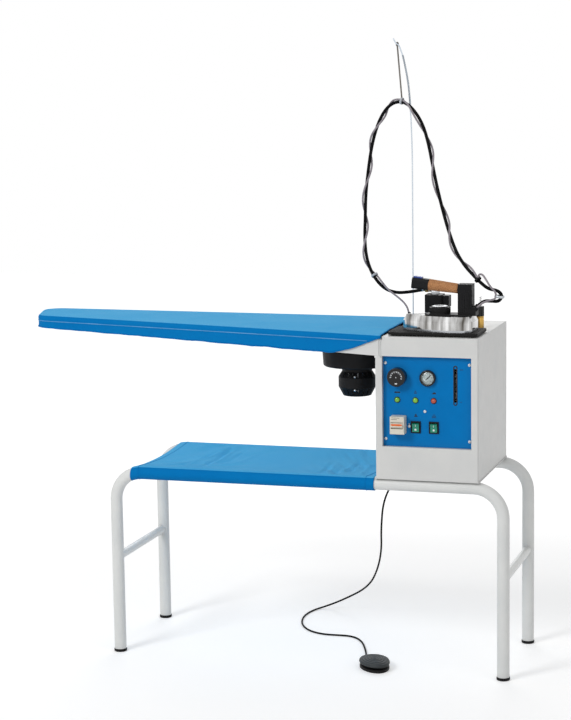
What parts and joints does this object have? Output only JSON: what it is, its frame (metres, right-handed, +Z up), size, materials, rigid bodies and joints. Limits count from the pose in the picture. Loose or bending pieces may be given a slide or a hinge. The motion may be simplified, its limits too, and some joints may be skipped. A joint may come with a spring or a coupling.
{
  "type": "steam ironing table",
  "caption": "Ironing table with a padded suction board, a boiler cabinet with a control panel, a cork-handled steam iron hung by its hose from a rod, and a foot pedal.",
  "frame": {"origin": "on the floor, under the middle of the table's overall length and depth", "axes": "+X along the board towards the cabinet, +Y to the rear, +Z up"},
  "size_m": [1.39, 0.5751, 1.6109],
  "materials": {
    "frame_white": "gloss powder coat",
    "black_plastic": "satin",
    "black_rubber": "matt",
    "shelf_blue": "coated cloth",
    "cover_blue": "woven cloth",
    "pad_felt": "needled felt",
    "plate_aluminium": "rolled",
    "galvanised": "zinc plated",
    "cabinet_white": "powder coat",
    "panel_blue": "satin",
    "screw_steel": "zinc plated",
    "chrome": "polished",
    "stainless": "brushed",
    "brass": "machined",
    "copper": "drawn",
    "glass_clear": "clear",
    "lamp_green": "translucent",
    "lamp_red": "translucent",
    "cream_plastic": "satin",
    "orange_plastic": "gloss",
    "teal_plastic": "gloss",
    "cork": "ground cork",
    "blue_plastic": "gloss",
    "sole_aluminium": "ground",
    "hose_black": "satin",
    "cable_grey": "braided",
    "tie_white": "satin",
    "rod_steel": "drawn",
    "needle_black": "satin"
  },
  "bodies": {
    "table": {"front_hoop": "frame_white", "rear_hoop": "frame_white", "cross_braces": "frame_white", "cabinet_bearers": "frame_white", "foot_caps": "black_plastic", "shelf_cloth": "shelf_blue", "suction_tray": "cabinet_white", "board_plate": "plate_aluminium", "board_pad": "pad_felt", "board_cover": "cover_blue", "board_bracket": "galvanised", "mounting_bolts": "screw_steel", "fan_housing": "black_plastic", "fan_motor": "galvanised", "motor_cover": "black_plastic", "cabinet_body": "cabinet_white", "cabinet_base": "cabinet_white", "cabinet_lid": "cabinet_white", "rear_cover": "cabinet_white", "control_panel": "panel_blue", "panel_screws": "screw_steel", "thermostat_body": "galvanised", "gauge_case": "chrome", "level_glass": "glass_clear", "level_pipes": "brass", "green_lamps": "lamp_green", "red_lamp": "lamp_red", "breaker_body": "cream_plastic", "switch_bezels": "black_plastic", "boiler_tank": "stainless", "heating_element": "copper", "filler_neck": "brass", "steam_valve": "brass", "valve_coil": "black_plastic", "drain_valve": "brass", "cable_glands": "black_plastic", "iron_mat": "black_rubber", "steam_hose": "hose_black", "iron_cable": "cable_grey", "hose_ties": "tie_white", "antenna_rod": "rod_steel", "antenna_socket": "screw_steel", "pedal_cord": "hose_black", "pedal_base": "black_plastic"},
    "knob": {"thermostat_knob": "black_plastic"},
    "needle": {"gauge_needle": "needle_black"},
    "lever": {"breaker_lever": "orange_plastic"},
    "boiler_key": {"boiler_rocker": "teal_plastic"},
    "fan_key": {"fan_rocker": "teal_plastic"},
    "plug": {"filler_plug": "brass"},
    "plug_knob": {"filler_knob": "black_plastic"},
    "drain_handle": {"drain_lever": "screw_steel"},
    "impeller": {"fan_impeller": "plate_aluminium"},
    "iron": {"soleplate": "sole_aluminium", "iron_cover": "chrome", "iron_handle": "black_plastic", "cork_grip": "cork"},
    "button": {"steam_button": "blue_plastic"},
    "dial": {"iron_dial": "black_plastic"},
    "treadle": {"pedal_top": "black_plastic"}
  },
  "joints": [
    {"name": "thermostat_turn", "type": "hinge", "parent": "table", "child": "knob", "pos_m": [0.4095, -0.18, 0.768], "axis": [0, 1, 0], "range_deg": [0, 270]},
    {"name": "gauge_swing", "type": "hinge", "parent": "table", "child": "needle", "pos_m": [0.4865, -0.181, 0.766], "axis": [0, 1, 0], "range_deg": [-180, 90]},
    {"name": "breaker_tip", "type": "hinge", "parent": "table", "child": "lever", "pos_m": [0.4125, -0.1976, 0.647], "axis": [1, 0, 0], "range_deg": [0, 35]},
    {"name": "boiler_switch_tip", "type": "hinge", "parent": "table", "child": "boiler_key", "pos_m": [0.455, -0.173, 0.6405], "axis": [-1, 0, 0], "range_deg": [0, 16]},
    {"name": "fan_switch_tip", "type": "hinge", "parent": "table", "child": "fan_key", "pos_m": [0.5015, -0.173, 0.6405], "axis": [-1, 0, 0], "range_deg": [0, 16]},
    {"name": "filler_rise", "type": "slide", "parent": "table", "child": "plug", "axis": [0, 0, 1], "range_m": [0, 0.006]},
    {"name": "filler_turn", "type": "hinge", "parent": "plug", "child": "plug_knob", "pos_m": [0.5735, 0.03, 0.91], "axis": [0, 0, 1], "range_deg": [0, 1082]},
    {"name": "drain_turn", "type": "hinge", "parent": "table", "child": "drain_handle", "pos_m": [0.5025, 0.184, 0.535], "axis": [0, 0, 1], "range_deg": [0, 90]},
    {"name": "fan_spin", "type": "hinge", "parent": "table", "child": "impeller", "pos_m": [0.2555, 0, 0.79], "axis": [0, 0, 1], "continuous": true},
    {"name": "iron_lift", "type": "slide", "parent": "table", "child": "iron", "axis": [0, 0, 1], "range_m": [0, 0.1], "deforming": ["steam_hose", "iron_cable"]},
    {"name": "steam_press", "type": "slide", "parent": "iron", "child": "button", "axis": [-0.1132, 0, -0.9936], "range_m": [0, 0.003], "stiffness_N_per_m": 500, "springref_m": -0.003},
    {"name": "iron_dial_turn", "type": "hinge", "parent": "iron", "child": "dial", "pos_m": [0.5025, -0.108, 0.93], "axis": [0, 0, 1], "range_deg": [0, 270]},
    {"name": "pedal_tip", "type": "hinge", "parent": "table", "child": "treadle", "pos_m": [0.3175, -0.12036, 0.015], "axis": [0.866, 0.5, 0], "range_deg": [0, 3], "stiffness_Nm_per_rad": 3, "springref_deg": -5.73}
  ],
  "couplings": [
    {"joint": "filler_turn", "follows": "filler_rise", "rad_per_m": 3141.6}
  ]
}
